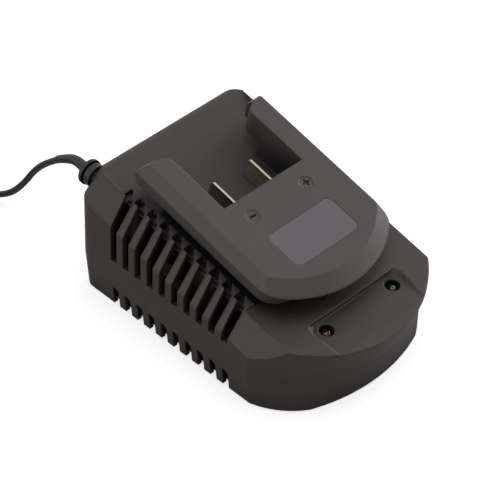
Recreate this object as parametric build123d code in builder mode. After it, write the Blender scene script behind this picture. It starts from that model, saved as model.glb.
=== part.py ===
"""Charger for a slide-on power tool battery.

Millimetres, +Z up. The origin is the middle of the footprint on the table, the low
rounded end faces -Y and the high end with the cord faces +Y.
"""
from build123d import *
from math import atan, cos, hypot, pi, radians, sin, tan
import os

os.makedirs("parts", exist_ok=True)

# ---- housing: plan outline at its four levels -------------------------------------
half_width = 50.0
side_draft = 2.0            # how far the lower side walls lean in at the skirt
rear_draft = 1.2
rear_y = 69.4
front_corner_y = -34.5      # the side walls end here and the bowed front begins
front_apex_edge = -69.4     # middle of the front, at the edge of the deck
front_apex_belt = -65.0
front_apex_skirt = -61.0
front_turn_x = 32.0         # the front's corner arcs end here
front_middle_x = 41.5
front_bulge = 0.6           # their middles stand this far out of the bow
skirt_turn_y = -54.8        # the skirt's front has rounder corner arcs
skirt_middle_x = 42.8
skirt_middle_y = -44.9
rear_corner_radius = 8.0
skirt_rear_radius = 6.0
foot_height = 0.6           # the skirt hovers this far above the table
belt_height = 19.5
housing_top = 90.0          # above everything, cut down to the deck
wall = 2.4

# ---- housing: the sloping top ------------------------------------------------------
deck_rise = 0.21            # rise of the ledge and the facets per millimetre of +Y
ledge_height = 48.3         # over y = 0
ledge_half_width = 41.0
shoulder_height = 35.6      # of the side wall's top edge, over y = 0
ledge_front_y = -24.2       # behind this the ledge, before it the lower apron
ledge_lip = 0.6             # strip of the ledge left beside the wide end of the swoop
apron_rise = 0.2
apron_drop = 1.7            # the apron lies this far under the ledge, over y = 0
rear_rounding = 6.0
crown_half_width = 42.0     # outline of the rear corners at the ledge's level
crown_radius = 16.0
crown_front_y = 45.0

# ---- deck recess, bay and swoop ----------------------------------------------------
rail_angle = 12.9           # tilt of the rail and of the recess floor
rail_above_ledge = 15.97    # over y = 0
rail_depth = 20.0           # rail top down to the recess floor, square to the rail
recess_half_width = 36.4
recess_front_y = -24.2
swoop_start_y = 33.0
swoop_end_y = 62.6
wide_swoop_y = 50.5

# ---- light panel at the front ------------------------------------------------------
panel_rear_y = -44.8
panel_half_width = 25.3
panel_depth = 2.3
panel_corner_radius = 4.5
panel_rise = 0.08
panel_side_slope = 45.0     # of the side walls, the rear wall is upright
led_x = 19.7
led_y = -49.8
led_hole = 6.8
led_diameter = 5.0
led_flange = 5.8
led_flange_height = 1.25
led_sink = 0.9              # the dome's top lies this far under the panel
led_length = 8.6

# ---- vents -------------------------------------------------------------------------
vent_count = 10
vent_pitch = 7.45
vent_rear_y = 48.2
vent_width = 3.8
vent_foot_height = 27.0
vent_ledge_depth = 3.2
vent_notch = 2.5            # the ledge part of a vent opens this much further back
vent_ramp_width = 2.2       # the rib before a vent is hollowed, more towards the ledge
vent_ramp_depth = 1.7
vent_ramp_start = 0.3
vent_ramp_over = 1.0
low_vent_width = 3.6
low_vent_top = 10.7
low_vent_corner = 1.5

# ---- slide rail --------------------------------------------------------------------
flat_half_width = 32.9
flat_rear = 43.5
flat_corner = -27.7
flat_apex = -42.4
flange_half_width = 36.5
flange_rear = 47.2
flange_corner = -33.6
flange_apex = -49.5
skirt_apex = -41.5          # under the bevel the front is undercut and the sides lean in
skirt_lean = 1.0            # at the underside of the flange
flat_corner_radius = 4.0
brim_corner_radius = 14.0
flange_corner_radius = 10.0
bevel_depth = 5.5
flange_depth = 12.5         # rail top down to the underside of the flange
pedestal_half_width = 31.5
pedestal_rear = 32.0
pedestal_apex = -40.5
pedestal_corner = -26.0
bay_half_width = 23.0
bay_front = 8.0
bay_corner_radius = 5.5
rail_wall = 2.4
mark_x = 15.6
mark_y = -1.8
mark_diameter = 6.2
mark_depth = 0.3
stroke_depth = 0.9          # of the strokes under the mark's floor
mark_stroke = 1.0
mark_length = 3.6
label_width = 36.2
label_length = 19.4
label_y = -22.6
label_corner_radius = 3.0
label_thickness = 0.5
label_sink = 0.1

# ---- blades and their block --------------------------------------------------------
blade_x = 10.75
blade_thickness = 1.0
blade_front = 9.0
blade_rear = 26.2
blade_slant = 1.2
blade_drop = 8.9            # rail top down to the blade's top edge
blade_foot = 30.0           # rail top down to the blade's lower end
block_half_width = 17.0
block_thickness = 5.0
block_margin = 3.0
fit = 0.1                   # clearance of pieces that are a close fit

# ---- base pan and feet -------------------------------------------------------------
pan_clearance = 0.3
pan_bottom = 1.0
pan_floor = 2.2
pan_wall = 2.0
pan_top = 5.2
foot_x = 34.0
foot_front_y = -33.0
foot_rear_y = 57.0
foot_diameter = 9.0
foot_pad = 1.4
plate_length = 46.0
plate_width = 26.0
plate_thickness = 0.3

# ---- screws ------------------------------------------------------------------------
boss_x = 35.5
boss_front_y = -24.0
boss_rear_y = 47.0
boss_diameter = 7.0
screw_diameter = 3.0
screw_head = 5.6
screw_head_height = 1.6
screw_reach = 12.0
small_screw = 2.2
small_head = 4.2
small_head_height = 1.3
small_reach = 6.0
rail_screw_x = 27.2
rail_screw_front = -15.0
rail_screw_rear = 22.0
rail_screw_reach = 9.0

# ---- circuit board and what stands on it -------------------------------------------
board_half_width = 30.0
board_front_y = -34.0
board_rear_y = 57.0
board_thickness = 1.6
standoff_height = 4.8
standoff_diameter = 5.5
standoff_inset = 4.5
core_width = 34.0
core_depth = 12.0
core_clearance = 2.0        # under the terminal block
core_leg = 9.0
core_yoke = 4.5
bobbin_wall = 1.0
bobbin_flange = 1.2
winding_depth = 5.5
core_x = -12.0
core_y = 12.0
bulk_diameter = 16.0
bulk_height = 26.0
bulk_x = 19.0
bulk_y = 44.0
output_diameter = 10.0
output_height = 18.0
output_x = 19.0
output_y = -9.0
output_pitch = 13.0
can_edge = 1 / 12           # rounding of a can's top, as a share of its diameter
sink_width = 24.0
sink_height = 24.0
sink_thickness = 2.5
sink_fins = 5
sink_fin_depth = 5.0
sink_x = 18.5
sink_y = 19.0
package_width = 10.0
package_height = 15.0
package_thickness = 4.5
package_lift = 5.0
package_leg = 0.8
package_leg_pitch = 2.5
choke_diameter = 15.0
choke_hole = 7.0
choke_height = 8.0
choke_edge = 1.6
choke_x = -14.5
choke_y = 44.0
box_capacitor_width = 13.0
box_capacitor_depth = 6.0
box_capacitor_height = 12.0
box_capacitor_x = 0.5
box_capacitor_y = 50.0
bridge_width = 8.5
bridge_height = 4.5
bridge_x = 3.0
bridge_y = 37.0
fuse_diameter = 5.2
fuse_length = 20.0
fuse_cap = 5.0
fuse_x = -26.3
fuse_y = 37.0
fuse_clip_wall = 0.8
chip_width = 6.4
chip_length = 9.6
chip_height = 3.4
chip_x = -2.0
chip_y = -18.0
shunt_length = 12.0
shunt_width = 4.6
shunt_height = 4.6
shunt_x = -20.0
shunt_y = -22.0
led_board_length = 46.0
led_board_width = 10.0
led_board_thickness = 1.2
led_post_diameter = 4.4
led_post_x = 10.0

# ---- wires inside ------------------------------------------------------------------
wire_diameter = 1.8
wire_radius = 3.0
wire_gap = 0.54
battery_wire_drop = 12.0
mains_lead = 6.0            # straight out of the gland
mains_slant = 3.0
mains_drop = 24.0           # down behind the rear wall
mains_run_drop = 36.0       # where the wires turn down to the board

# ---- cord --------------------------------------------------------------------------
cord_diameter = 3.0
bend_share = 0.45           # of the shorter run beside a corner
cord_x = -38.0
exit_above_ledge = 4.7      # over y = 0
boss_reach = 3.0            # the round boss stands this far behind the rear wall
gland_boss = 10.6
gland_neck = 7.0
gland_flange = 11.8
gland_flange_thickness = 1.8
gland_gap = 1.0
gland_inner_reach = 3.0
gland_collar = 8.4
gland_collar_length = 2.4
sleeve_root = 5.0
sleeve_tip = 3.5
# y and height of the sleeve, and x, y and height of the cord, the heights as shares of
# the exit's height over a cord that lies on the table
sleeve_route = [(80.2, 1.0175), (85.0, 1.0019), (89.9, 0.9476), (95.0, 0.8757)]
cord_route = [
    (-38.0, 95.0, 0.8757),
    (-38.0, 103.5, 0.734),
    (-38.3, 111.0, 0.5534),
    (-39.2, 117.0, 0.3495),
    (-40.8, 124.5, 0.1612),
    (-43.0, 134.5, 0.0447),
    (-45.8, 146.0, 0.0),
    (-48.0, 157.0, 0.0),
]
coil_outer = 53.0
coil_hole = 21.0
coil_height = 12.5
coil_corner = 3.5
coil_x = -73.3
coil_y = 166.0
tail_length = 12.0
plug_width = 26.0
plug_depth = 12.0
plug_length = 22.0
plug_corner = 3.5
plug_neck_diameter = 6.5
plug_neck_length = 12.0
plug_neck_tip = 4.875
pin_spacing = 19.0
pin_diameter = 4.0
pin_length = 19.0

# ---- derived places ----------------------------------------------------------------
tilt = radians(rail_angle)
rail_rise = tan(tilt)
rail_top_height = ledge_height + rail_above_ledge
apron_height = ledge_height - apron_drop
cord_exit_height = ledge_height + exit_above_ledge
rail_plane = Plane(origin=(0, 0, rail_top_height), x_dir=(1, 0, 0), z_dir=(0, -sin(tilt), cos(tilt)))
floor_height = rail_top_height - rail_depth / cos(tilt)
facet_rise = (ledge_height - shoulder_height) / (half_width - ledge_half_width)
facet_length = hypot(facet_rise, 1.0)
deck_angle = atan(deck_rise)
deck_section = Plane(
    origin=(0, 0, 0), x_dir=(1, 0, 0), z_dir=(0, -cos(deck_angle), -sin(deck_angle))
)
board_bottom = pan_bottom + pan_floor + standoff_height
board_top = board_bottom + board_thickness
pan_floor_top = pan_bottom + pan_floor


def ledge_at(y):
    """Height of the ledge beside the rail."""
    return ledge_height + deck_rise * y


def apron_at(y):
    """Height of the front apron."""
    return apron_height + apron_rise * y


def floor_at(y):
    """Height of the straight part of the recess floor."""
    return floor_height + rail_rise * y


def bow_at(x, apex):
    """Place along y of a front that is bowed in a single arc, at the given x."""
    rise = front_corner_y - apex
    bow = (half_width**2 + rise**2) / (2 * rise)
    return apex + bow - (bow**2 - x**2) ** 0.5


def moved_in(place, inset):
    """A point of the front moved in towards the middle of the body."""
    x, y = place
    share = 1 - inset / hypot(x, y - front_corner_y)
    return x * share, front_corner_y + (y - front_corner_y) * share


def plan_outline(height, inset, width, rear, apex, middle, turn, radius):
    """Outline of the housing at one level: straight sides, round rear corners, bowed front."""
    side = width - inset
    tip = (0, apex + inset)
    mid_x, mid_y = moved_in(middle, inset)
    turn_x, turn_y = moved_in(turn, inset)
    with BuildSketch(Plane.XY.offset(height)) as outline:
        with BuildLine():
            Polyline(
                (side, front_corner_y), (side, rear - inset),
                (-side, rear - inset), (-side, front_corner_y),
            )
            ThreePointArc((-side, front_corner_y), (-mid_x, mid_y), (-turn_x, turn_y))
            ThreePointArc((-turn_x, turn_y), tip, (turn_x, turn_y))
            ThreePointArc((turn_x, turn_y), (mid_x, mid_y), (side, front_corner_y))
        make_face()
        fillet(outline.vertices().group_by(Axis.Y)[-1], radius - inset)
    return outline.sketch


def skirt_outline(height, inset):
    """Outline of the housing at its foot."""
    return plan_outline(
        height,
        inset,
        half_width - side_draft,
        rear_y - rear_draft,
        front_apex_skirt,
        (skirt_middle_x, skirt_middle_y),
        (front_turn_x, skirt_turn_y),
        skirt_rear_radius,
    )


def wall_outline(height, inset, apex):
    """Outline of the housing above its skirt."""
    return plan_outline(
        height,
        inset,
        half_width,
        rear_y,
        apex,
        (front_middle_x, bow_at(front_middle_x, apex) - front_bulge),
        (front_turn_x, bow_at(front_turn_x, apex)),
        rear_corner_radius,
    )


def walls_form(inset):
    """The housing's walls with no top cut yet: lofts between four levels."""
    levels = [
        skirt_outline(foot_height - inset, inset),
        wall_outline(belt_height, inset, front_apex_belt),
        wall_outline(apron_at(front_apex_edge), inset, front_apex_edge),
        wall_outline(housing_top, inset, front_apex_edge),
    ]
    with BuildPart() as solid:
        loft(levels, ruled=True)
    return solid.part


def space_above_top(inset):
    """What the apron, the ledge and the rounded rear edge leave free."""
    sink = inset / cos(tilt)
    radius = rear_rounding - inset
    rear = rear_y - inset
    round_y = rear - radius
    round_z = ledge_at(round_y) - sink
    bow = radius * (1 - sin(radians(45)))
    far_front = 2 * front_apex_edge
    front_y = ledge_front_y - inset
    with BuildPart() as solid:
        with BuildSketch(Plane.YZ.offset(-half_width)):
            with BuildLine():
                Polyline(
                    (round_y, round_z),
                    (front_y, ledge_at(front_y) - sink),
                    (front_y, apron_at(front_y) - sink),
                    (far_front, apron_at(far_front) - sink),
                    (far_front, housing_top),
                    (rear_y + radius, housing_top),
                    (rear_y + radius, round_z - radius),
                    (rear, round_z - radius),
                )
                ThreePointArc(
                    (rear, round_z - radius), (rear - bow, round_z - bow), (round_y, round_z)
                )
            make_face()
        extrude(amount=2 * half_width)
    return solid.part


def space_beside_facets(inset):
    """What the inclined facets between ledge and side walls leave free."""
    lean = cos(deck_angle)
    drop = inset * facet_length
    crest = shoulder_height + half_width * facet_rise
    outer = half_width + side_draft
    with BuildPart() as solid:
        with BuildSketch(deck_section.offset(-2 * rear_y)):
            with BuildLine():
                Polyline(
                    (0, crest * lean - drop),
                    (0, housing_top * 2),
                    (outer, housing_top * 2),
                    (outer, (shoulder_height - side_draft * facet_rise) * lean - drop),
                    close=True,
                )
            make_face()
            mirror(about=Plane.YZ)
        extrude(amount=4 * rear_y)
    return solid.part


def crown_outline(height, width, radius, inset):
    """Outline of the rear end of the top at one level, with its rounded corners."""
    rear = rear_y - inset
    with BuildSketch(Plane.XY.offset(height)) as outline:
        with Locations((0, rear)):
            Rectangle(2 * (width - inset), rear - crown_front_y, align=(Align.CENTER, Align.MAX))
        fillet(outline.vertices().group_by(Axis.Y)[-1], radius - inset)
    return outline.sketch


def space_round_crown(inset):
    """What the rear corners of the top leave free, ever rounder towards the ledge."""
    low = shoulder_height + deck_rise * rear_y - inset
    high = ledge_at(rear_y)
    with BuildPart() as solid:
        with BuildSketch(Plane.XY.offset(low)):
            with Locations((0, crown_front_y)):
                Rectangle(2 * half_width, 2 * rear_y, align=(Align.CENTER, Align.MIN))
        extrude(amount=high - low)
        loft(
            [
                crown_outline(low, half_width, rear_corner_radius, inset),
                crown_outline(high, crown_half_width, crown_radius, inset),
            ],
            ruled=True,
            mode=Mode.SUBTRACT,
        )
    return solid.part


def recess_space(inset, reach, front_y):
    """The recess that the battery's foot slides in, with the swoop at its rear end."""
    sink = inset / cos(tilt)
    start_y = swoop_start_y - inset * sin(tilt)
    end_y = swoop_end_y + inset * deck_rise
    with BuildPart() as solid:
        with BuildSketch(Plane.YZ.offset(-reach)):
            with BuildLine():
                Polyline(
                    (end_y, ledge_at(end_y) - sink),
                    (end_y, housing_top),
                    (recess_front_y - inset, housing_top),
                    (recess_front_y - inset, floor_at(recess_front_y) - sink),
                    (start_y, floor_at(start_y) - sink),
                )
                TangentArc(
                    (start_y, floor_at(start_y) - sink),
                    (end_y, ledge_at(end_y) - sink),
                    tangent=(cos(tilt), sin(tilt)),
                )
            make_face()
        extrude(amount=2 * reach)
        if front_y > recess_front_y:
            split(bisect_by=Plane.XZ.offset(-front_y), keep=Keep.BOTTOM)
    return solid.part


def panel_space(inset):
    """The sunk panel of the two lights."""
    sink = inset / cos(tilt)
    lean = atan(panel_rise)
    half = panel_half_width + inset
    rear = panel_rear_y + inset
    panel_plane = Plane(
        origin=(0, rear, apron_at(panel_rear_y) - panel_depth - sink),
        x_dir=(1, 0, 0),
        z_dir=(0, -sin(lean), cos(lean)),
    )
    with BuildPart() as solid:
        with BuildSketch(panel_plane):
            with Locations((0, -half)):
                RectangleRounded(2 * half, 2 * half, panel_corner_radius)
        extrude(amount=2 * panel_depth, taper=-panel_side_slope)
        split(bisect_by=Plane.XZ.offset(-rear), keep=Keep.TOP)
    return solid.part


def housing_form(inset):
    """The housing's solid form, with every face moved in by the inset."""
    with BuildPart() as solid:
        add(walls_form(inset))
        add(space_above_top(inset), mode=Mode.SUBTRACT)
        add(space_beside_facets(inset), mode=Mode.SUBTRACT)
        add(space_round_crown(inset), mode=Mode.SUBTRACT)
        add(recess_space(inset, recess_half_width + inset, recess_front_y), mode=Mode.SUBTRACT)
        add(recess_space(inset, ledge_half_width - ledge_lip + inset, wide_swoop_y - inset),
            mode=Mode.SUBTRACT)
        add(panel_space(inset), mode=Mode.SUBTRACT)
    return solid.part


def finish(builder, name):
    """Label a finished piece and write it."""
    builder.part.label = name
    export_step(builder.part, f"parts/{name}.step")


def pins(plane, points, diameter, length):
    """Round pins that stand on a plane, at the given places of the plane."""
    with BuildPart() as solid:
        with BuildSketch(plane):
            with Locations(*points):
                Circle(diameter / 2)
        extrude(amount=length)
    return solid.part


def screws(plane, points, diameter, reach, head, head_height):
    """Screws with their heads under the plane and their shanks along its normal."""
    with BuildPart() as solid:
        add(pins(plane, points, diameter, reach))
        add(pins(plane.offset(-head_height), points, head, head_height))
    return solid.part


boss_points = [(x, y) for y in (boss_front_y, boss_rear_y) for x in (-boss_x, boss_x)]
rail_screw_points = [
    (x, y) for y in (rail_screw_front, rail_screw_rear) for x in (-rail_screw_x, rail_screw_x)
]
standoff_points = [
    (x, y)
    for y in (board_front_y + standoff_inset, board_rear_y - standoff_inset)
    for x in (-board_half_width + standoff_inset, board_half_width - standoff_inset)
]
floor_plane = rail_plane.offset(-rail_depth)
deck_under = rail_plane.offset(-rail_depth - wall)
led_plane = Plane(
    origin=(0, panel_rear_y, apron_at(panel_rear_y) - panel_depth),
    x_dir=(1, 0, 0),
    z_dir=(0, -sin(atan(panel_rise)), cos(atan(panel_rise))),
)
led_points = [(-led_x, led_y - panel_rear_y), (led_x, led_y - panel_rear_y)]
led_board_top = apron_at(panel_rear_y) - panel_depth - led_sink - led_length
led_post_points = [(-led_post_x, led_y), (led_post_x, led_y)]
cord_axis = Plane(origin=(cord_x, rear_y, cord_exit_height), x_dir=(1, 0, 0), z_dir=(0, 1, 0))
gland_inner_y = rear_y - wall - gland_inner_reach
gland_inner = cord_axis.offset(gland_inner_y - rear_y)
gland_face_y = rear_y + boss_reach + gland_gap + gland_flange_thickness
blade_points = [-blade_x, blade_x]


def ramp_section(height, front, width, depth):
    """Wedge that hollows the rib before a vent, at one height."""
    behind = front + fit
    edge = half_width - (height - shoulder_height - deck_rise * behind) / facet_rise
    ahead = edge - (width + fit) * deck_rise / facet_rise
    with BuildSketch(Plane.XY.offset(height)) as section:
        with BuildLine():
            Polyline(
                (edge - depth, behind),
                (ahead, front - width),
                (ahead + wall, front - width),
                (edge + wall, behind),
                close=True,
            )
        make_face()
    return section.sketch


def upper_vent(rear):
    """One bent vent of the right-hand side, from the ledge over the facet down the side wall."""
    front = rear - vent_width
    height = ledge_at(rear - vent_width / 2)
    shoulder = height - ledge_height + shoulder_height
    cut = (wall + side_draft / 2) * facet_length
    depth_x = half_width - wall - side_draft / 2
    foot_of_facet = shoulder + (half_width - depth_x) * facet_rise - cut
    inner_x = recess_half_width - wall / 2
    low = shoulder_height + deck_rise * front
    ramp = [
        ramp_section(low, front, vent_ramp_start, vent_ramp_start),
        ramp_section(ledge_at(front) + vent_ramp_over, front, vent_ramp_width, vent_ramp_depth),
    ]
    with BuildPart() as solid:
        with BuildSketch(Plane.XZ.offset(-rear)):
            with BuildLine():
                Polyline(
                    (ledge_half_width, height + rear_rounding),
                    (half_width + wall, height + rear_rounding),
                    (half_width + wall, vent_foot_height),
                    (depth_x, vent_foot_height),
                    (depth_x, foot_of_facet),
                    (ledge_half_width, foot_of_facet + (depth_x - ledge_half_width) * facet_rise),
                    close=True,
                )
            make_face()
        extrude(amount=vent_width)
        with BuildSketch(Plane.XY.offset(ledge_at(front) - vent_ledge_depth)):
            with BuildLine():
                Polyline(
                    (inner_x, rear),
                    (inner_x, rear + vent_notch),
                    (ledge_half_width, rear + vent_notch),
                    (ledge_half_width, front),
                    (recess_half_width, rear),
                    close=True,
                )
            make_face()
        extrude(amount=housing_top)
        loft(ramp, ruled=True)
    return solid.part


def lower_vent(rear):
    """One vent of the right-hand skirt, open at the bottom."""
    reach = wall + side_draft
    with BuildPart() as solid:
        with BuildSketch(Plane.YZ.offset(half_width - side_draft - reach)):
            with BuildLine():
                Polyline(
                    (rear, -wall),
                    (rear, low_vent_top),
                    (rear - low_vent_width + low_vent_corner, low_vent_top),
                    (rear - low_vent_width, low_vent_top - low_vent_corner),
                    (rear - low_vent_width, -wall),
                    close=True,
                )
            make_face()
        extrude(amount=2 * reach)
    return solid.part


# ---- battery rail ------------------------------------------------------------------
def rail_outline(depth, width, rear, corner, apex, radius):
    """Straight sides and a bowed front, in a plane under the rail's top."""
    with BuildSketch(rail_plane.offset(-depth)) as outline:
        with BuildLine():
            Polyline((width, corner), (width, rear), (-width, rear), (-width, corner))
            ThreePointArc((-width, corner), (0, apex), (width, corner))
        make_face()
        fillet(outline.vertices().group_by(Axis.Y)[0], radius)
    return outline.sketch


rail_top = rail_outline(
    0, flat_half_width, flat_rear, flat_corner, flat_apex, flat_corner_radius
)
rail_brim = rail_outline(
    bevel_depth, flange_half_width, flange_rear, flange_corner, flange_apex, brim_corner_radius
)
rail_skirt = [
    rail_outline(depth, flange_half_width - lean, flange_rear - lean, flange_corner,
                 skirt_apex + lean, flange_corner_radius)
    for depth, lean in ((bevel_depth, 0), (flange_depth, skirt_lean))
]
pedestal = rail_outline(
    flange_depth, pedestal_half_width, pedestal_rear, pedestal_corner, pedestal_apex,
    flange_corner_radius,
)
with BuildPart() as battery_rail:
    loft([rail_top, rail_brim], ruled=True)
    loft(rail_skirt, ruled=True)
    extrude(pedestal, amount=-(rail_depth - flange_depth))
    # bay between the two arms, its mouth rounded
    mouth = flat_rear - bay_corner_radius / 2
    with BuildSketch(rail_plane.offset(1)):
        with BuildLine():
            Polyline(
                (0, bay_front),
                (bay_half_width, bay_front),
                (bay_half_width, mouth - bay_corner_radius / 2),
            )
            RadiusArc(
                (bay_half_width, mouth - bay_corner_radius / 2),
                (bay_half_width + bay_corner_radius, mouth + bay_corner_radius / 2),
                bay_corner_radius,
            )
            Polyline(
                (bay_half_width + bay_corner_radius, mouth + bay_corner_radius / 2),
                (bay_half_width + bay_corner_radius, 2 * rear_y),
                (0, 2 * rear_y),
                (0, bay_front),
            )
        make_face()
        mirror(about=Plane.YZ)
    extrude(amount=-2 * rail_depth, mode=Mode.SUBTRACT)
    # hollow under the closed part
    with BuildSketch(floor_plane):
        with Locations((0, bay_front - rail_wall)):
            Rectangle(
                2 * (pedestal_half_width - rail_wall),
                bay_front - rail_wall - pedestal_corner,
                align=(Align.CENTER, Align.MAX),
            )
    extrude(amount=rail_depth - rail_wall, mode=Mode.SUBTRACT)
    front_points = rail_screw_points[:2]
    add(pins(floor_plane, front_points, boss_diameter, rail_depth - rail_wall / 2))
    add(pins(floor_plane, rail_screw_points, screw_diameter, rail_screw_reach), mode=Mode.SUBTRACT)
    # label recess and polarity marks
    with BuildSketch(rail_plane):
        with Locations((0, label_y)):
            RectangleRounded(label_width, label_length, label_corner_radius)
    extrude(amount=-(label_thickness + label_sink), mode=Mode.SUBTRACT)
    with BuildSketch(rail_plane):
        with Locations((-mark_x, mark_y), (mark_x, mark_y)):
            Circle(mark_diameter / 2)
    extrude(amount=-mark_depth, mode=Mode.SUBTRACT)
    with BuildSketch(rail_plane.offset(-mark_depth)):
        with Locations((-mark_x, mark_y), (mark_x, mark_y)):
            Rectangle(mark_length, mark_stroke)
        with Locations((mark_x, mark_y)):
            Rectangle(mark_stroke, mark_length)
    extrude(amount=-stroke_depth, mode=Mode.SUBTRACT)
    # its underside sits on the deck
    add(housing_form(0), mode=Mode.SUBTRACT)
finish(battery_rail, "battery_rail")

with BuildPart() as label_plate:
    with BuildSketch(rail_plane.offset(-label_thickness - label_sink)):
        with Locations((0, label_y)):
            RectangleRounded(label_width, label_length, label_corner_radius)
    extrude(amount=label_thickness)
finish(label_plate, "label_plate")

# ---- terminal block and blades -----------------------------------------------------
block_front = blade_front - block_margin
block_rear = blade_rear + block_margin
with BuildPart() as terminal_block:
    with BuildSketch(deck_under):
        with Locations((0, block_front)):
            Rectangle(2 * block_half_width, block_rear - block_front, align=(Align.CENTER, Align.MIN))
    extrude(amount=-block_thickness)
    for x in blade_points:
        with BuildSketch(deck_under):
            with Locations((x, blade_front)):
                Rectangle(blade_thickness, blade_rear - blade_front, align=(Align.CENTER, Align.MIN))
        extrude(amount=-block_thickness, mode=Mode.SUBTRACT)
finish(terminal_block, "terminal_block")


def blade(x):
    """Upright contact blade, its free rear edge slanted."""
    with BuildPart() as solid:
        with BuildSketch(Plane(origin=rail_plane.origin, x_dir=rail_plane.y_dir, z_dir=(1, 0, 0))
                         .offset(x - blade_thickness / 2)):
            with BuildLine():
                Polyline(
                    (blade_front, -blade_foot),
                    (blade_front, -blade_drop),
                    (blade_rear - blade_slant, -blade_drop),
                    (blade_rear, -blade_drop - blade_slant),
                    (blade_rear, -blade_foot),
                    close=True,
                )
            make_face()
        extrude(amount=blade_thickness)
    return solid


negative_blade = blade(-blade_x)
positive_blade = blade(blade_x)
finish(negative_blade, "negative_blade")
finish(positive_blade, "positive_blade")

# ---- upper housing -----------------------------------------------------------------
with BuildPart() as upper_housing:
    add(housing_form(0))
    add(housing_form(wall), mode=Mode.SUBTRACT)
    add(pins(cord_axis.offset(-2 * wall), [(0, 0)], gland_neck, 3 * wall), mode=Mode.SUBTRACT)
    add(pins(gland_inner, [(0, 0)], gland_collar + 2 * fit, gland_collar_length + fit),
        mode=Mode.SUBTRACT)
    for x, y in boss_points:
        height = floor_at(y) - wall / 2 - pan_floor_top
        add(pins(Plane.XY.offset(pan_floor_top), [(x, y)], boss_diameter, height))
    add(pins(Plane.XY.offset(pan_floor_top), boss_points, screw_diameter, screw_reach),
        mode=Mode.SUBTRACT)
    for number in range(vent_count):
        rear = vent_rear_y - number * vent_pitch
        for vent in (upper_vent(rear), lower_vent(rear)):
            add(vent, mode=Mode.SUBTRACT)
            add(mirror(vent, about=Plane.YZ, mode=Mode.PRIVATE), mode=Mode.SUBTRACT)
    # posts of the light board, light holes, rail screw holes and blade slots
    led_post_height = apron_at(panel_rear_y) - panel_depth - wall / 2 - led_board_top
    add(pins(Plane.XY.offset(led_board_top), led_post_points, led_post_diameter, led_post_height))
    add(pins(Plane.XY.offset(led_board_top), led_post_points, small_screw, small_reach),
        mode=Mode.SUBTRACT)
    add(pins(led_plane.offset(-2 * wall), led_points, led_hole, 4 * wall), mode=Mode.SUBTRACT)
    add(pins(deck_under, rail_screw_points, screw_diameter, wall), mode=Mode.SUBTRACT)
    for x in blade_points:
        with BuildSketch(deck_under):
            with Locations((x, blade_front)):
                Rectangle(blade_thickness, blade_rear - blade_front, align=(Align.CENTER, Align.MIN))
        extrude(amount=wall, mode=Mode.SUBTRACT)
finish(upper_housing, "upper_housing")
print("housing solids", len(upper_housing.solids()))

# ---- base pan, feet and blank rating plate -----------------------------------------
pan_inset = wall + pan_clearance
with BuildPart() as base_pan:
    extrude(skirt_outline(pan_bottom, pan_inset), amount=pan_top - pan_bottom)
    extrude(skirt_outline(pan_floor_top, pan_inset + pan_wall), amount=pan_top - pan_bottom,
            mode=Mode.SUBTRACT)
    add(pins(Plane.XY.offset(pan_floor_top), standoff_points, standoff_diameter, standoff_height))
    add(pins(Plane.XY.offset(pan_bottom), standoff_points, small_screw, board_bottom), mode=Mode.SUBTRACT)
    add(pins(Plane.XY.offset(pan_bottom), boss_points, screw_diameter, pan_floor), mode=Mode.SUBTRACT)
    add(pins(Plane.XY.offset(pan_bottom), boss_points, screw_head, screw_head_height), mode=Mode.SUBTRACT)
    foot_points = [(x, y) for y in (foot_front_y, foot_rear_y) for x in (-foot_x, foot_x)]
    foot_seat = foot_pad - pan_bottom
    add(pins(Plane.XY.offset(pan_bottom), foot_points, foot_diameter, foot_seat), mode=Mode.SUBTRACT)
    with BuildSketch(Plane.XY.offset(pan_bottom)):
        Rectangle(plate_length, plate_width)
    extrude(amount=plate_thickness, mode=Mode.SUBTRACT)
finish(base_pan, "base_pan")

with BuildPart() as rubber_feet:
    add(pins(Plane.XY, foot_points, foot_diameter, foot_pad))
finish(rubber_feet, "rubber_feet")

with BuildPart() as blank_rating_plate:
    with BuildSketch(Plane.XY.offset(pan_bottom)):
        Rectangle(plate_length, plate_width)
    extrude(amount=plate_thickness)
finish(blank_rating_plate, "blank_rating_plate")

# ---- screws ------------------------------------------------------------------------
with BuildPart() as housing_screws:
    head_top = Plane.XY.offset(pan_bottom + screw_head_height)
    add(screws(head_top, boss_points, screw_diameter, screw_reach, screw_head, screw_head_height))
finish(housing_screws, "housing_screws")

with BuildPart() as board_screws:
    flipped = Plane(origin=(0, 0, board_top), x_dir=(-1, 0, 0), z_dir=(0, 0, -1))
    add(screws(flipped, [(-x, y) for x, y in standoff_points], small_screw,
               board_thickness + small_reach, small_head, small_head_height))
finish(board_screws, "board_screws")

with BuildPart() as rail_screws:
    add(screws(deck_under, rail_screw_points, screw_diameter, wall + rail_screw_reach,
               screw_head, screw_head_height))
finish(rail_screws, "rail_screws")

with BuildPart() as light_board_screws:
    add(screws(Plane.XY.offset(led_board_top - led_board_thickness), led_post_points, small_screw,
               led_board_thickness + small_reach, small_head, small_head_height))
finish(light_board_screws, "light_board_screws")

# ---- status lights -----------------------------------------------------------------
with BuildPart() as light_board:
    with BuildSketch(Plane.XY.offset(led_board_top)):
        with Locations((0, led_y)):
            Rectangle(led_board_length, led_board_width)
    extrude(amount=-led_board_thickness)
    add(pins(Plane.XY.offset(led_board_top - led_board_thickness), led_post_points, small_screw,
             led_board_thickness), mode=Mode.SUBTRACT)
finish(light_board, "light_board")

for name, x in (("red_light", -led_x), ("green_light", led_x)):
    with BuildPart() as light:
        radius = led_diameter / 2
        add(pins(Plane.XY.offset(led_board_top), [(x, led_y)], led_flange, led_flange_height))
        add(pins(Plane.XY.offset(led_board_top), [(x, led_y)], led_diameter, led_length - radius))
        with Locations((x, led_y, led_board_top + led_length - radius)):
            Sphere(radius)
    finish(light, name)

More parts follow.
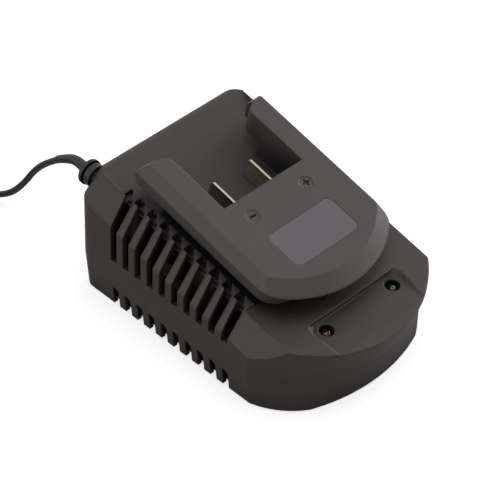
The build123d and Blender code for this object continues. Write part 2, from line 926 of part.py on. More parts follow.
# ---- circuit board -----------------------------------------------------------------
with BuildPart() as circuit_board:
    with BuildSketch(Plane.XY.offset(board_bottom)):
        with Locations((0, (board_front_y + board_rear_y) / 2)):
            Rectangle(2 * board_half_width, board_rear_y - board_front_y)
    extrude(amount=board_thickness)
    add(pins(Plane.XY.offset(board_bottom), standoff_points, small_screw, board_thickness),
        mode=Mode.SUBTRACT)
finish(circuit_board, "circuit_board")
board_plane = Plane.XY.offset(board_top)


def box_on_board(x, y, width, depth, height, lift=0.0):
    """Upright block standing on the circuit board."""
    with BuildPart() as solid:
        with BuildSketch(board_plane.offset(lift)):
            with Locations((x, y)):
                Rectangle(width, depth)
        extrude(amount=height)
    return solid.part


# transformer: a closed core round a wound bobbin
block_under = rail_plane.from_local_coords(
    Vector(0, block_front, -rail_depth - wall - block_thickness)
).Z
core_height = block_under - board_top - core_clearance
window_height = core_height - 2 * core_yoke
window_width = (core_width - core_leg - 2 * core_yoke) / 2
with BuildPart() as transformer_core:
    add(box_on_board(core_x, core_y, core_width, core_depth, core_height))
    for side in (-1, 1):
        x = core_x + side * (core_leg + window_width) / 2
        add(box_on_board(x, core_y, window_width, core_depth, window_height, core_yoke),
            mode=Mode.SUBTRACT)
finish(transformer_core, "transformer_core")

bobbin_width = core_leg + 2 * window_width - 2 * fit
bobbin_depth = core_depth + 2 * window_width - 2 * fit
spool_width = core_leg + 2 * fit + 2 * bobbin_wall
spool_depth = core_depth + 2 * fit + 2 * bobbin_wall
with BuildPart() as transformer_bobbin:
    for lift in (core_yoke, core_yoke + window_height - bobbin_flange):
        add(box_on_board(core_x, core_y, bobbin_width, bobbin_depth, bobbin_flange, lift))
    add(box_on_board(core_x, core_y, spool_width, spool_depth, window_height, core_yoke))
    add(box_on_board(core_x, core_y, core_leg + 2 * fit, core_depth + 2 * fit, window_height, core_yoke),
        mode=Mode.SUBTRACT)
finish(transformer_bobbin, "transformer_bobbin")

coil_thickness = min(winding_depth, window_width - bobbin_wall - 2 * fit)
winding_height = window_height - 2 * bobbin_flange
with BuildPart() as transformer_winding:
    with BuildSketch(board_plane.offset(core_yoke + bobbin_flange)):
        with Locations((core_x, core_y)):
            RectangleRounded(spool_width + 2 * coil_thickness - 2 * fit,
                             spool_depth + 2 * coil_thickness - 2 * fit, coil_thickness / 2)
            Rectangle(spool_width, spool_depth, mode=Mode.SUBTRACT)
    extrude(amount=winding_height)
finish(transformer_winding, "transformer_winding")


def can(places, diameter, height):
    """Upright round capacitor cans with rounded tops."""
    with BuildPart() as solid:
        add(pins(board_plane, places, diameter, height))
        fillet(solid.edges().group_by(Axis.Z)[-1], can_edge * diameter)
    return solid


input_capacitor = can([(bulk_x, bulk_y)], bulk_diameter, bulk_height)
finish(input_capacitor, "input_capacitor")
output_places = [(output_x, output_y), (output_x, output_y - output_pitch)]
output_capacitors = can(output_places, output_diameter, output_height)
finish(output_capacitors, "output_capacitors")

with BuildPart() as heat_sink:
    add(box_on_board(sink_x, sink_y, sink_width, sink_thickness, sink_height))
    fin_pitch = (sink_width - sink_thickness) / (sink_fins - 1)
    for number in range(sink_fins):
        x = sink_x - (sink_width - sink_thickness) / 2 + number * fin_pitch
        y = sink_y + (sink_thickness + sink_fin_depth) / 2
        add(box_on_board(x, y, sink_thickness / 2, sink_fin_depth, sink_height))
finish(heat_sink, "heat_sink")

package_y = sink_y - (sink_thickness + package_thickness) / 2
for name, side in (("switching_transistor", -1), ("output_diode", 1)):
    x = sink_x + side * (sink_width - package_width) / 2
    with BuildPart() as package:
        add(box_on_board(x, package_y, package_width, package_thickness, package_height, package_lift))
        for leg in (-1, 0, 1):
            add(box_on_board(x + leg * package_leg_pitch, package_y, package_leg, package_leg,
                             package_lift))
    finish(package, name)

with BuildPart() as input_choke:
    add(pins(board_plane, [(choke_x, choke_y)], choke_diameter, choke_height))
    add(pins(board_plane, [(choke_x, choke_y)], choke_hole, choke_height), mode=Mode.SUBTRACT)
    fillet(input_choke.edges().group_by(Axis.Z)[-1], choke_edge)
finish(input_choke, "input_choke")

with BuildPart() as film_capacitor:
    add(box_on_board(box_capacitor_x, box_capacitor_y, box_capacitor_width, box_capacitor_depth,
                     box_capacitor_height))
finish(film_capacitor, "film_capacitor")

with BuildPart() as bridge_rectifier:
    add(box_on_board(bridge_x, bridge_y, bridge_width, bridge_width, bridge_height))
finish(bridge_rectifier, "bridge_rectifier")

with BuildPart() as control_chip:
    add(box_on_board(chip_x, chip_y, chip_width, chip_length, chip_height))
finish(control_chip, "control_chip")

with BuildPart() as shunt_resistor:
    add(box_on_board(shunt_x, shunt_y, shunt_width, shunt_length, shunt_height))
finish(shunt_resistor, "shunt_resistor")

fuse_plane = Plane(
    origin=(fuse_x, fuse_y - fuse_length / 2, board_top + fuse_diameter / 2 + fuse_clip_wall),
    x_dir=(1, 0, 0),
    z_dir=(0, 1, 0),
)
with BuildPart() as fuse:
    add(pins(fuse_plane, [(0, 0)], fuse_diameter, fuse_length))
finish(fuse, "fuse")

with BuildPart() as fuse_clips:
    for offset in (0, fuse_length - fuse_cap):
        with BuildSketch(fuse_plane.offset(offset)):
            with Locations((0, -fuse_clip_wall / 2)):
                Rectangle(fuse_diameter + 2 * fuse_clip_wall, fuse_diameter + fuse_clip_wall)
            Circle(fuse_diameter / 2, mode=Mode.SUBTRACT)
            with Locations((0, fuse_diameter / 2)):
                Rectangle(fuse_diameter / 2, fuse_diameter, mode=Mode.SUBTRACT)
        extrude(amount=fuse_cap)
finish(fuse_clips, "fuse_clips")


# ---- wires inside ------------------------------------------------------------------
def wire(points):
    """Round wire along straight runs with rounded corners."""
    with BuildPart() as solid:
        with BuildLine() as route:
            FilletPolyline(*points, radius=wire_radius)
        with BuildSketch(Plane(origin=route.line @ 0, z_dir=route.line % 0)):
            Circle(wire_diameter / 2)
        sweep()
    return solid.part


blade_wire_start = (blade_front + blade_rear) / 2 + block_margin
with BuildPart() as battery_wires:
    for x in blade_points:
        start = rail_plane.from_local_coords(Vector(x, blade_wire_start, -blade_foot))
        turn = rail_plane.from_local_coords(Vector(x, blade_wire_start, -blade_foot - 2 * wire_radius))
        over = Vector(x, turn.Y + wire_radius, turn.Z - battery_wire_drop)
        add(wire([start, turn, over, Vector(over.X, over.Y, board_top)]))
finish(battery_wires, "battery_wires")

mains_spacing = wire_diameter + wire_gap
with BuildPart() as mains_wires:
    for side in (-1, 1):
        x = cord_x + side * mains_spacing / 2
        landing = choke_x - choke_diameter / 4 + side * mains_spacing / 2 - wire_diameter
        landing_y = choke_y + choke_diameter / 2 + wire_diameter
        add(wire([
            (x, gland_inner_y, cord_exit_height),
            (x, gland_inner_y - mains_lead, cord_exit_height),
            (x, gland_inner_y - mains_lead - mains_slant, cord_exit_height - mains_drop),
            (landing, landing_y, cord_exit_height - mains_run_drop),
            (landing, landing_y, board_top),
        ]))
finish(mains_wires, "mains_wires")

# ---- cord gland and strain relief --------------------------------------------------
gland_outer = cord_axis.offset(boss_reach + gland_gap)
with BuildPart() as cord_gland:
    add(pins(gland_inner, [(0, 0)], gland_neck, gland_inner_reach + wall + boss_reach + gland_gap))
    add(pins(gland_inner, [(0, 0)], gland_collar, gland_collar_length))
    add(pins(cord_axis, [(0, 0)], gland_boss, boss_reach))
    add(pins(gland_outer, [(0, 0)], gland_flange, gland_flange_thickness))
    fillet(cord_gland.edges().group_by(Axis.Y)[-1], gland_flange_thickness / 4)
finish(cord_gland, "cord_gland")

hang = cord_exit_height - cord_diameter / 2
cord_points = [Vector(x, y, cord_diameter / 2 + share * hang) for x, y, share in cord_route]
cord_direction = (cord_points[1] - cord_points[0]).normalized()
sleeve_points = [(cord_x, gland_face_y, cord_exit_height)] + [
    (cord_x, y, cord_diameter / 2 + share * hang) for y, share in sleeve_route
]
with BuildPart() as strain_relief:
    with BuildLine() as sleeve_line:
        Spline(*sleeve_points, tangents=[(0, 1, 0), tuple(cord_direction)])
    sections = []
    for number in range(len(sleeve_points) + 2):
        share = number / (len(sleeve_points) + 1)
        station = Plane(origin=sleeve_line.line @ share, x_dir=(1, 0, 0), z_dir=sleeve_line.line % share)
        with BuildSketch(station) as section:
            Circle((sleeve_root + (sleeve_tip - sleeve_root) * share) / 2)
        sections.append(section.sketch)
    loft(sections)
finish(strain_relief, "strain_relief")


# ---- cord, coil and plug -----------------------------------------------------------
def tube(points, diameter):
    """Cord of straight runs joined by arcs as large as the runs allow."""
    runs = [(points[n + 1] - points[n]).length for n in range(len(points) - 1)]
    radii = []
    for n in range(1, len(points) - 1):
        turn = radians((points[n] - points[n - 1]).get_angle(points[n + 1] - points[n]))
        radii.append(bend_share * min(runs[n - 1], runs[n]) / tan(turn / 2))
    print("bend radii", [round(radius, 1) for radius in radii])
    with BuildPart() as solid:
        with BuildLine() as route:
            FilletPolyline(*points, radius=radii)
        with BuildSketch(Plane(origin=route.line @ 0, z_dir=route.line % 0)):
            Circle(diameter / 2)
        sweep()
    length = route.wire().length
    section = pi * diameter**2 / 4
    print("cord", round(length, 1), "mm, volume over section x length",
          round(solid.part.volume / section / length, 4))
    return solid.part


with BuildPart() as cord_coil:
    with BuildSketch(Plane(origin=(coil_x, coil_y, 0), x_dir=(1, 0, 0), z_dir=(0, -1, 0))) as ring:
        with Locations((coil_hole / 2, 0)):
            Rectangle((coil_outer - coil_hole) / 2, coil_height, align=(Align.MIN, Align.MIN))
        fillet(ring.vertices(), coil_corner)
    revolve(axis=Axis((coil_x, coil_y, 0), (0, 0, 1)))
finish(cord_coil, "cord_coil")

with BuildPart() as cord:
    add(tube(cord_points, cord_diameter))
    add(cord_coil.part, mode=Mode.SUBTRACT)
finish(cord, "cord")

tail_x = coil_x - coil_outer / 2 + cord_diameter / 2
tail_start = Plane(origin=(tail_x, coil_y, plug_depth / 2), x_dir=(1, 0, 0), z_dir=(0, -1, 0))
tail_from_middle = coil_outer / 4
neck_start = tail_start.offset(tail_from_middle + tail_length)
body_start = neck_start.offset(plug_neck_length)
with BuildPart() as cord_tail:
    add(pins(tail_start.offset(tail_from_middle), [(0, 0)], cord_diameter, tail_length))
finish(cord_tail, "cord_tail")

with BuildPart() as plug_body:
    with BuildSketch(neck_start):
        Circle(plug_neck_tip / 2)
    with BuildSketch(body_start):
        Circle(plug_neck_diameter / 2)
    loft()
    with BuildSketch(body_start):
        RectangleRounded(plug_width, plug_depth, plug_corner)
    extrude(amount=plug_length)
    fillet(plug_body.edges().filter_by(Plane.XZ).group_by(Axis.Y)[0], plug_corner / 3)
finish(plug_body, "plug_body")

with BuildPart() as plug_pins:
    add(pins(body_start.offset(plug_length), [(-pin_spacing / 2, 0), (pin_spacing / 2, 0)],
             pin_diameter, pin_length))
finish(plug_pins, "plug_pins")
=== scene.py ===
# %% [markdown]
# A charger for slide-on tool batteries: a dark moulded housing with bent vents, a T-shaped
# rail with two contact blades, two status lights and a thin mains cord. The solids come from
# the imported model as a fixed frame, in metres. This lesson gives them their finish, lays the
# cord, and lights and frames the object.

# %% Load the frame
import bpy
from math import cos, pi, radians, sin
from mathutils import Matrix, Vector


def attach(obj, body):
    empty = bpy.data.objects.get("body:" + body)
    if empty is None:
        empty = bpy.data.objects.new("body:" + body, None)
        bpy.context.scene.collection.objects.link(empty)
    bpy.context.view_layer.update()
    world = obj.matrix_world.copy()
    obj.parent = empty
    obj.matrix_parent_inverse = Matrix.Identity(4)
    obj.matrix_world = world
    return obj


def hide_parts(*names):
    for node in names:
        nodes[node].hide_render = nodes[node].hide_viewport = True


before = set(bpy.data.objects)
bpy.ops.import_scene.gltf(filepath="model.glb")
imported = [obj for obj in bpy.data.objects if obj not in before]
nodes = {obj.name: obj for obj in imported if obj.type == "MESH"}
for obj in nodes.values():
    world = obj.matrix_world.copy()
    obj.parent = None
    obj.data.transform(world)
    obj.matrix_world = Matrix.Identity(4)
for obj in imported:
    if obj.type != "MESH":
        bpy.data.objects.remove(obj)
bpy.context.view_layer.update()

MM = 0.001

# %% [markdown]
# The camera stands left of the low end and looks down on the deck through a long lens, so
# the parallel rails stay nearly parallel. Its place is given by the angle round the object,
# the angle above the table and the distance to the point it looks at, and a small roll.

# %% Camera
AZIMUTH = radians(-46.01)
ELEVATION = radians(42.66)
ROLL = radians(2.0)
DISTANCE = 1.1235
TARGET = Vector((0.0, 0.0144, 0.024))
LENS = 188.47
back = Vector((
    sin(AZIMUTH) * cos(ELEVATION),
    -cos(AZIMUTH) * cos(ELEVATION),
    sin(ELEVATION),
))
level_right = Vector((cos(AZIMUTH), sin(AZIMUTH), 0.0))
level_up = back.cross(level_right)
right = level_right * cos(ROLL) + level_up * sin(ROLL)
up = level_up * cos(ROLL) - level_right * sin(ROLL)
camera_data = bpy.data.cameras.new("camera")
camera_data.sensor_width = 36.0
camera_data.lens = LENS
camera_data.clip_start = 0.05
camera_data.clip_end = 20.0
camera = bpy.data.objects.new("camera", camera_data)
bpy.context.scene.collection.objects.link(camera)
camera.matrix_world = Matrix.Translation(TARGET + back * DISTANCE) @ Matrix((
    (right.x, up.x, back.x, 0.0),
    (right.y, up.y, back.y, 0.0),
    (right.z, up.z, back.z, 0.0),
    (0.0, 0.0, 0.0, 1.0),
))
bpy.context.scene.camera = camera
print("camera at", [round(v, 3) for v in camera.matrix_world.translation])

# %% [markdown]
# The cord is a thin light lead. It leaves its tapered sleeve, droops to the table and is
# wound into a neat ring, and its plug lies beside the ring. One NURBS spline carries the
# whole length: its control points pull the line into soft curves without kinks. The ring's
# turns come from a loop that lays four layers, inwards and outwards in turn.

# %% Cord
CORD_DIAMETER = 3.0 * MM
EXIT_X = -38.0
EXIT_HEIGHT = 53.0
LYING_HEIGHT = CORD_DIAMETER / MM / 2
# x and y, and the height as a share of the exit's height over the lying cord
drape = [
    (EXIT_X, 95.0, 0.8757),
    (EXIT_X, 103.5, 0.734),
    (-38.3, 111.0, 0.5534),
    (-39.2, 117.0, 0.3495),
    (-40.8, 124.5, 0.1612),
    (-43.0, 134.5, 0.0447),
    (-45.8, 146.0, 0.0),
    (-48.0, 157.0, 0.0),
]
cord_route = [
    (x, y, LYING_HEIGHT + share * (EXIT_HEIGHT - LYING_HEIGHT)) for x, y, share in drape
]
COIL_CENTRE = (-73.3, 166.0)
COIL_RADIUS = 24.9
COIL_HOLE_RADIUS = 13.0
COIL_LAYERS = 4
COIL_LAYER_HEIGHT = 3.05
COIL_TURNS = 14.5
POINTS_PER_TURN = 16
TAIL_HEIGHT = 6.0
# the tail's first points, as distances from the coil's middle, and how it leaves the last turn
TAIL_STEPS = (7.0, 13.5, 20.0)
TAIL_SWAY = 0.2
TAIL_DROP = 1.5
TAIL_LIFT = 0.6
NECK_Y = 140.75


def coil_points():
    """Turns laid in layers; the hand goes inwards on one layer and outwards on the next."""
    points = []
    count = int(COIL_TURNS * POINTS_PER_TURN)
    per_layer = count / COIL_LAYERS
    grow = 1 / cos(pi / POINTS_PER_TURN)
    for number in range(count + 1):
        layer = min(int(number / per_layer), COIL_LAYERS - 1)
        share = number / per_layer - layer
        inward = share if layer % 2 == 0 else 1 - share
        radius = COIL_RADIUS - (COIL_RADIUS - COIL_HOLE_RADIUS) * inward
        climb = min(1.0, share * per_layer / (POINTS_PER_TURN / 2)) if layer else 1.0
        height = LYING_HEIGHT + COIL_LAYER_HEIGHT * (layer - 1 + climb)
        angle = 2 * pi * number / POINTS_PER_TURN
        points.append((
            COIL_CENTRE[0] + radius * grow * cos(angle),
            COIL_CENTRE[1] + radius * grow * sin(angle),
            height,
        ))
    return points


turns = coil_points()
tail_x = COIL_CENTRE[0] - COIL_RADIUS
tail = [
    (tail_x - TAIL_SWAY, COIL_CENTRE[1] - TAIL_STEPS[0], turns[-1][2] - TAIL_DROP),
    (tail_x, COIL_CENTRE[1] - TAIL_STEPS[1], TAIL_HEIGHT + TAIL_LIFT),
    (tail_x, COIL_CENTRE[1] - TAIL_STEPS[2], TAIL_HEIGHT),
    (tail_x, NECK_Y, TAIL_HEIGHT),
]
cord_line = cord_route + turns + tail
curve = bpy.data.curves.new("mains_cord", "CURVE")
curve.dimensions = "3D"
spline = curve.splines.new("NURBS")
spline.points.add(len(cord_line) - 1)
for point, place in zip(spline.points, cord_line):
    point.co = (*[v * MM for v in place], 1.0)
    # a curve's box grows by the radius of its points, so they carry the cord's real radius and
    # the bevel's depth, which it multiplies, is one
    point.radius = CORD_DIAMETER / 2
spline.order_u = 3
spline.use_endpoint_u = True
spline.resolution_u = 4
curve.bevel_depth = 1.0
curve.bevel_resolution = 4
curve.use_fill_caps = True
mains_cord = bpy.data.objects.new("mains_cord", curve)
bpy.context.scene.collection.objects.link(mains_cord)
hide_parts("cord", "cord_coil", "cord_tail")
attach(mains_cord, "root")

# %% [markdown]
# Shader maths reads best as plain sums. A small class wraps one output socket: adding,
# subtracting or multiplying two of them, or one and a number, adds the Math node that does
# it, and a vector goes through Vector Math. Every other node comes from one method.


# %% Shader helper
class Flow:
    """An output socket in a node tree, with ordinary arithmetic on it."""

    def __init__(self, tree, socket):
        self.tree = tree
        self.socket = socket
        self.is_vector = socket.type in {"VECTOR", "RGBA"}

    def node(self, kind, settings=None, inputs=None, output=0):
        """Any node: its settings first, then the values or links of its sockets."""
        made = self.tree.nodes.new(kind)
        for key, value in (settings or {}).items():
            setattr(made, key, value)
        for key, value in (inputs or {}).items():
            if isinstance(value, Flow):
                self.tree.links.new(value.socket, made.inputs[key])
            else:
                made.inputs[key].default_value = value
        return Flow(self.tree, made.outputs[output])

    def maths(self, operation, first, second):
        """A Math node, or Vector Math where a vector takes part."""
        vector = any(isinstance(v, Flow) and v.is_vector for v in (first, second))
        kind = "ShaderNodeVectorMath" if vector else "ShaderNodeMath"
        values = [
            (v, v, v) if vector and not isinstance(v, (Flow, tuple)) else v for v in (first, second)
        ]
        return self.node(kind, {"operation": operation}, {0: values[0], 1: values[1]})

    def __add__(self, other):
        return self.maths("ADD", self, other)

    def __radd__(self, other):
        return self.maths("ADD", other, self)

    def __sub__(self, other):
        return self.maths("SUBTRACT", self, other)

    def __rsub__(self, other):
        return self.maths("SUBTRACT", other, self)

    def __mul__(self, other):
        return self.maths("MULTIPLY", self, other)

    def spread(self, low, high, to_low=0.0, to_high=1.0):
        """The value's stretch from low to high, mapped smoothly to another stretch."""
        return self.node(
            "ShaderNodeMapRange",
            {"interpolation_type": "SMOOTHSTEP"},
            {"Value": self, "From Min": low, "From Max": high, "To Min": to_low, "To Max": to_high},
        )

    def mix(self, first, second):
        """Colour blend, with this value as the factor."""
        return self.node(
            "ShaderNodeMix",
            {"data_type": "RGBA"},
            {"Factor": self, 6: first, 7: second},
            output=2,
        )


def linear(*channels):
    """Screen colour from 0 to 255 to the linear colour that shaders use."""
    parts = [c / 255 for c in channels]
    return tuple(
        p / 12.92 if p <= 0.04045 else ((p + 0.055) / 1.055) ** 2.4 for p in parts
    ) + (1.0,)


def finish(name, **constants):
    """A new material with a Principled shader; returns the material, a start and the shader."""
    material = bpy.data.materials.new(name)
    material.use_nodes = True
    tree = material.node_tree
    shader = tree.nodes["Principled BSDF"]
    for key, value in constants.items():
        shader.inputs[key.replace("_", " ")].default_value = value
    place = tree.nodes.new("ShaderNodeTexCoord")
    return material, Flow(tree, place.outputs["Object"]), shader


def bumped(height, strength, depth):
    """A bumped normal from a height."""
    return height.node(
        "ShaderNodeBump", None, {"Strength": strength, "Distance": depth, "Height": height}
    )


def feed(shader, **flows):
    """Links flows to the shader's sockets."""
    for key, flow in flows.items():
        flow.tree.links.new(flow.socket, shader.inputs[key.replace("_", " ")])


print("shader helper ready")

# %% [markdown]
# Moulded plastic is not one flat grey. The mould is spark-eroded, so the skin has a fine
# even grain that breaks up the gloss, large faces vary softly in tone, and edges are smoother
# where the grain is polished by hands; their colour is also made lighter, a painted highlight.
# Noise at three sizes gives the grain and the tone, and the Bevel node compares the real normal
# with a rounded one to find the edges. Ambient Occlusion finds the crevices, such as vents and
# undercuts, and darkens their colour: painted shade.


# %% Moulded plastic
# painted shade: how far ambient occlusion looks for crevices, and how dark it paints them
CREVICE_SHADE_REACH = 20 * MM
CREVICE_SHADE_TONE = 0.12
GRAIN_DEPTH = 0.00012
BUMP_DEPTH = 0.0001


def moulded(name, colour, grain=0.22, roughness=0.52, edge=0.45, radius=0.0009, tone=0.10):
    """Spark-eroded plastic with rounded, slightly polished edges lightened as a painted highlight, and
    painted shade in its crevices.
    """
    material, place, shader = finish(name, IOR=1.46)
    fine = place.node("ShaderNodeTexNoise", None, {"Vector": place, "Scale": 2600.0, "Detail": 2.0})
    coarse = place.node("ShaderNodeTexNoise", None, {"Vector": place, "Scale": 900.0, "Detail": 3.0})
    cloud = place.node("ShaderNodeTexNoise", None, {"Vector": place, "Scale": 28.0, "Detail": 4.0})
    rounded = place.node("ShaderNodeBevel", {"samples": 6}, {"Radius": radius})
    sharp = place.node("ShaderNodeNewGeometry", None, None, output="Normal")
    alike = place.node("ShaderNodeVectorMath", {"operation": "DOT_PRODUCT"}, {0: rounded, 1: sharp},
                       output="Value")
    # edge mask: real wear in the lower roughness, and a painted highlight in the lighter edge colour
    edge_wear_and_highlight = (1.0 - alike).spread(0.02, 0.32) * edge
    light_tone = tuple(min(1.0, c * (1 + tone)) for c in colour[:3]) + (1.0,)
    dark_tone = tuple(c * (1 - tone) for c in colour[:3]) + (1.0,)
    edge_rub_and_highlight_tone = tuple(min(1.0, c * 1.7 + 0.01) for c in colour[:3]) + (1.0,)
    body = cloud.spread(0.3, 0.7).mix(dark_tone, light_tone)
    speck = (fine * 0.5 + coarse * 0.5).spread(0.42, 0.62)
    body = (speck * 0.22).mix(body, light_tone)
    body = edge_wear_and_highlight.mix(body, edge_rub_and_highlight_tone)
    # painted shade: ambient occlusion darkens the base colour in crevices, vents and undercuts
    open_sky = place.node(
        "ShaderNodeAmbientOcclusion", {"samples": 6}, {"Distance": CREVICE_SHADE_REACH}, output="AO"
    )
    crevice_shade_tone = tuple(c * CREVICE_SHADE_TONE for c in colour[:3]) + (1.0,)
    feed(
        shader,
        Base_Color=open_sky.spread(0.1, 0.85).mix(crevice_shade_tone, body),
        Roughness=roughness + cloud * 0.10 - edge_wear_and_highlight * 0.15 - 0.05,
        Normal=place.node(
            "ShaderNodeBump",
            None,
            {
                "Strength": grain,
                "Distance": GRAIN_DEPTH,
                "Height": fine * 0.6 + coarse,
                "Normal": rounded,
            },
        ),
    )
    print("moulded plastic", name)
    return material


HOUSING_COLOUR = linear(50, 43, 40)
housing_plastic = moulded("housing_plastic", HOUSING_COLOUR)
rail_plastic = moulded("rail_plastic", linear(70, 65, 65))
pan_plastic = moulded("pan_plastic", linear(52, 50, 48), edge=0.15)
label_face = moulded(
    "label_face", linear(106, 102, 106), grain=0.03, roughness=0.42, edge=0.05, radius=0.0003, tone=0.03
)
terminal_plastic = moulded("terminal_plastic", linear(38, 37, 36), edge=0.1)
cord_rubber = moulded(
    "cord_rubber", linear(26, 26, 26), grain=0.04, roughness=0.45, edge=0.0, radius=0.0002
)
foot_rubber = moulded("foot_rubber", linear(40, 40, 40), grain=0.2, roughness=0.8, edge=0.0)

# %% [markdown]
# Metals differ by how they were made. The blades are stamped and nickel plated: bright, with
# faint lines along the stamping. Screws are zinc plated, the heat sink is extruded and has
# long drawn lines, and copper wire shows its enamel; its colour is darkened as painted shade
# for the inside of the housing. All are a Metallic shader whose roughness is streaked by noise
# stretched along one direction.


# %% Metals
def metal(name, colour, roughness=0.25, stretch=(1.0, 1.0, 1.0), scale=600.0, depth=0.05):
    """Metal with streaks along the axis that has the smallest factor in stretch."""
    material, place, shader = finish(name, Metallic=1.0)
    streak = place.node(
        "ShaderNodeTexNoise", None, {"Vector": place * stretch, "Scale": scale, "Detail": 3.0}
    )
    cloud = place.node("ShaderNodeTexNoise", None, {"Vector": place, "Scale": 60.0, "Detail": 3.0})
    dull = tuple(c * 0.8 for c in colour[:3]) + (1.0,)
    feed(
        shader,
        Base_Color=cloud.spread(0.35, 0.75).mix(colour, dull),
        Roughness=roughness + streak * 0.18 - 0.05,
        Normal=bumped(streak, depth, BUMP_DEPTH),
    )
    print("metal", name)
    return material


nickel = metal("nickel", linear(196, 186, 174), 0.24, (1.0, 0.1, 1.0), depth=0.008)
zinc = metal("zinc", linear(176, 178, 182), 0.3)
drawn_aluminium = metal("drawn_aluminium", linear(188, 190, 192), 0.32, (1.0, 1.0, 0.05))
can_sleeve = moulded("can_sleeve", linear(28, 34, 60), grain=0.02, roughness=0.3, edge=0.1, radius=0.0003)
# painted shade: the winding's copper is far darker than enamelled wire, as shade inside the housing
copper = metal("copper", linear(56, 38, 30), 0.3, (0.05, 0.05, 1.0), 1500.0, 0.3)
brass = metal("brass", linear(190, 160, 92), 0.28)
ferrite = moulded("ferrite", linear(58, 58, 60), grain=0.25, roughness=0.6, edge=0.3)
bobbin_plastic = moulded("bobbin_plastic", linear(120, 116, 100), grain=0.03, roughness=0.4, edge=0.05)
epoxy = moulded("epoxy", linear(33, 33, 34), grain=0.1, roughness=0.55, edge=0.1, radius=0.0003)
# painted shade: the film capacitor's case is darkened for the inside of the housing
film_case = moulded("film_case", linear(120, 96, 44), grain=0.03, roughness=0.35, edge=0.1)
ceramic = moulded("ceramic", linear(130, 128, 122), grain=0.1, roughness=0.6, edge=0.05)
# painted shade: the inner wires' jackets are darkened for the inside of the housing
wire_jacket = moulded("wire_jacket", linear(44, 40, 40), grain=0.03, roughness=0.4, edge=0.0)

# %% [markdown]
# The circuit board is green solder mask over copper tracks, seen as a slightly raised
# network of straight lines: the mortar lines of one Brick texture are the tracks. Its greens
# are darkened as painted shade for the inside of the housing.


# %% Circuit board
def solder_mask():
    """Green mask with faint tracks under it, darkened as painted shade."""
    material, place, shader = finish("solder_mask", IOR=1.5)
    tracks = place.node(
        "ShaderNodeTexBrick",
        {"offset": 0.37, "squash": 1.6},
        {"Vector": place, "Scale": 180.0, "Mortar Size": 0.03, "Color1": (0, 0, 0, 1),
         "Color2": (0.25, 0.25, 0.25, 1), "Mortar": (1, 1, 1, 1)},
    )
    level = place.node("ShaderNodeRGBToBW", None, {"Color": tracks})
    feed(
        shader,
        # painted shade: both greens are darkened for the inside of the housing
        Base_Color=level.mix(linear(10, 36, 22), linear(30, 62, 34)),
        Roughness=0.35 + level * 0.1,
        Normal=bumped(level, 0.3, BUMP_DEPTH),
    )
    return material


board_mask = solder_mask()
print("circuit board mask")

# %% [markdown]
# The lights are clear tinted domes. Light passes through them, so they are a transmissive
# shader with a strong tint, and a slightly uneven surface from the mould.


# %% Lights and fuse glass
def clear(name, colour, roughness=0.06):
    """Tinted clear plastic or glass."""
    material, place, shader = finish(name, Transmission_Weight=0.85, IOR=1.5)
    swirl = place.node("ShaderNodeTexNoise", None, {"Vector": place, "Scale": 300.0, "Detail": 2.0})
    deep = tuple(c * 0.7 for c in colour[:3]) + (1.0,)
    feed(
        shader,
        Base_Color=swirl.spread(0.3, 0.7).mix(deep, colour),
        Roughness=roughness + swirl * 0.05,
        Normal=bumped(swirl, 0.05, BUMP_DEPTH),
    )
    print("clear", name)
    return material


red_lens = clear("red_lens", linear(150, 34, 36))
green_lens = clear("green_lens", linear(44, 112, 66))
fuse_glass = clear("fuse_glass", linear(225, 232, 230))

# %% [markdown]
# Every node of the frame gets its finish by name. The meshes stay as they are: the edges of
# the moulded pieces catch light through the Bevel node in their material.

# %% Dress the nodes
finishes = {
    housing_plastic: ["upper_housing"],
    rail_plastic: ["battery_rail"],
    pan_plastic: ["base_pan", "blank_rating_plate"],
    label_face: ["label_plate"],
    terminal_plastic: ["terminal_block"],
    nickel: ["negative_blade", "positive_blade", "plug_pins"],
    foot_rubber: ["rubber_feet"],
    zinc: ["housing_screws", "board_screws", "rail_screws", "light_board_screws"],
    board_mask: ["circuit_board", "light_board"],
    red_lens: ["red_light"],
    green_lens: ["green_light"],
    ferrite: ["transformer_core"],
    bobbin_plastic: ["transformer_bobbin"],
    copper: ["transformer_winding", "input_choke"],
    can_sleeve: ["input_capacitor", "output_capacitors"],
    drawn_aluminium: ["heat_sink"],
    epoxy: ["switching_transistor", "output_diode", "bridge_rectifier", "control_chip"],
    film_case: ["film_capacitor"],
    ceramic: ["shunt_resistor"],
    fuse_glass: ["fuse"],
    brass: ["fuse_clips"],
    wire_jacket: ["battery_wires", "mains_wires"],
    cord_rubber: ["cord_gland", "strain_relief", "plug_body"],
}
for material, names in finishes.items():
    for name in names:
        mesh = nodes[name].data
        mesh.materials.clear()
        mesh.materials.append(material)
curve.materials.append(cord_rubber)
print("dressed", sum(len(names) for names in finishes.values()), "nodes")

# %% [markdown]
# The studio is white paper under soft boxes. The floor is white and partly self-lit for the
# camera alone, so it stays white while it keeps the object's soft shadow, and the world is
# white where the camera, a reflection or clear plastic looks into it, and a plain grey light
# for everything else.


# %% Stage and light
FLOOR_WIDTH = 1.4
FLOOR_GLOW = 0.68
AMBIENT = 0.15


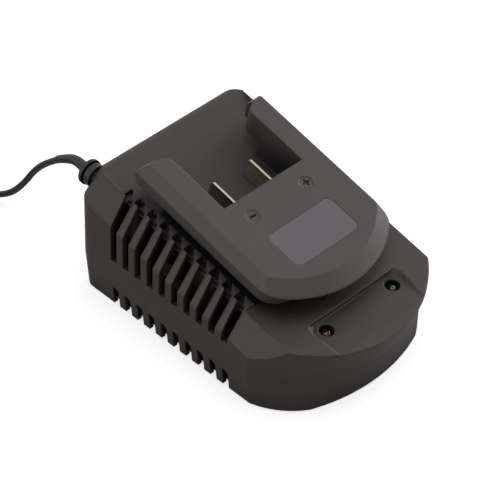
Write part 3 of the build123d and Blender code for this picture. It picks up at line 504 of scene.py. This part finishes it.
def stage_floor():
    """White floor that shows the shadow."""
    mesh = bpy.data.meshes.new("paper_floor")
    half = FLOOR_WIDTH / 2
    corners = [(-half, -half, 0), (half, -half, 0), (half, half, 0), (-half, half, 0)]
    mesh.from_pydata(corners, [], [(0, 1, 2, 3)])
    floor = bpy.data.objects.new("paper_floor", mesh)
    bpy.context.scene.collection.objects.link(floor)
    material, place, shader = finish("white_paper", Roughness=0.9, Specular_IOR_Level=0.0)
    fibre = place.node("ShaderNodeTexNoise", None, {"Vector": place, "Scale": 40.0})
    feed(shader, Base_Color=fibre.mix((0.80, 0.80, 0.80, 1.0), (0.82, 0.82, 0.82, 1.0)))
    seen = place.node("ShaderNodeLightPath", None, None, output="Is Camera Ray")
    glow = place.node(
        "ShaderNodeEmission", None, {"Color": (1, 1, 1, 1), "Strength": seen * FLOOR_GLOW}
    )
    paper = Flow(place.tree, shader.outputs[0])
    both = place.node("ShaderNodeAddShader", None, {0: paper, 1: glow})
    output = place.tree.nodes["Material Output"]
    place.tree.links.new(both.socket, output.inputs["Surface"])
    mesh.materials.append(material)


def soft_box(name, place, size, power, aim=(0.0, 0.0, 0.03)):
    """A square soft box that faces the object."""
    data = bpy.data.lights.new(name, "AREA")
    data.shape = "SQUARE"
    data.size = size
    data.energy = power
    box = bpy.data.objects.new(name, data)
    box.location = place
    box.rotation_mode = "QUATERNION"
    box.rotation_quaternion = (Vector(aim) - Vector(place)).to_track_quat("-Z", "Y")
    bpy.context.scene.collection.objects.link(box)


world = bpy.data.worlds.new("studio")
bpy.context.scene.world = world
world.use_nodes = True
path = world.node_tree.nodes.new("ShaderNodeLightPath")
camera_ray, glossy_ray, clear_ray = (
    Flow(world.node_tree, path.outputs[name])
    for name in ("Is Camera Ray", "Is Glossy Ray", "Is Transmission Ray")
)
glossy_or_clear = camera_ray.maths("MAXIMUM", glossy_ray, clear_ray)
plain = camera_ray.maths("MAXIMUM", camera_ray, glossy_or_clear)
strength = AMBIENT + plain * (1.0 - AMBIENT)
background = world.node_tree.nodes["Background"]
background.inputs["Color"].default_value = (1, 1, 1, 1)
world.node_tree.links.new(strength.socket, background.inputs["Strength"])

stage_floor()
soft_box("right_box", (1.2, 0.0, 0.38), 0.7, 7.6)
soft_box("top_box", (-0.1, 0.0, 1.3), 0.8, 4.4)
soft_box("front_right_box", (0.85, -0.85, 0.45), 0.8, 2.2)
soft_box("rear_left_box", (-0.85, 0.85, 0.5), 0.8, 0.8)
soft_box("left_box", (-1.1, 0.0, 0.2), 0.3, 2.0)
bpy.context.scene.view_settings.view_transform = "Standard"
print("stage and lights set")
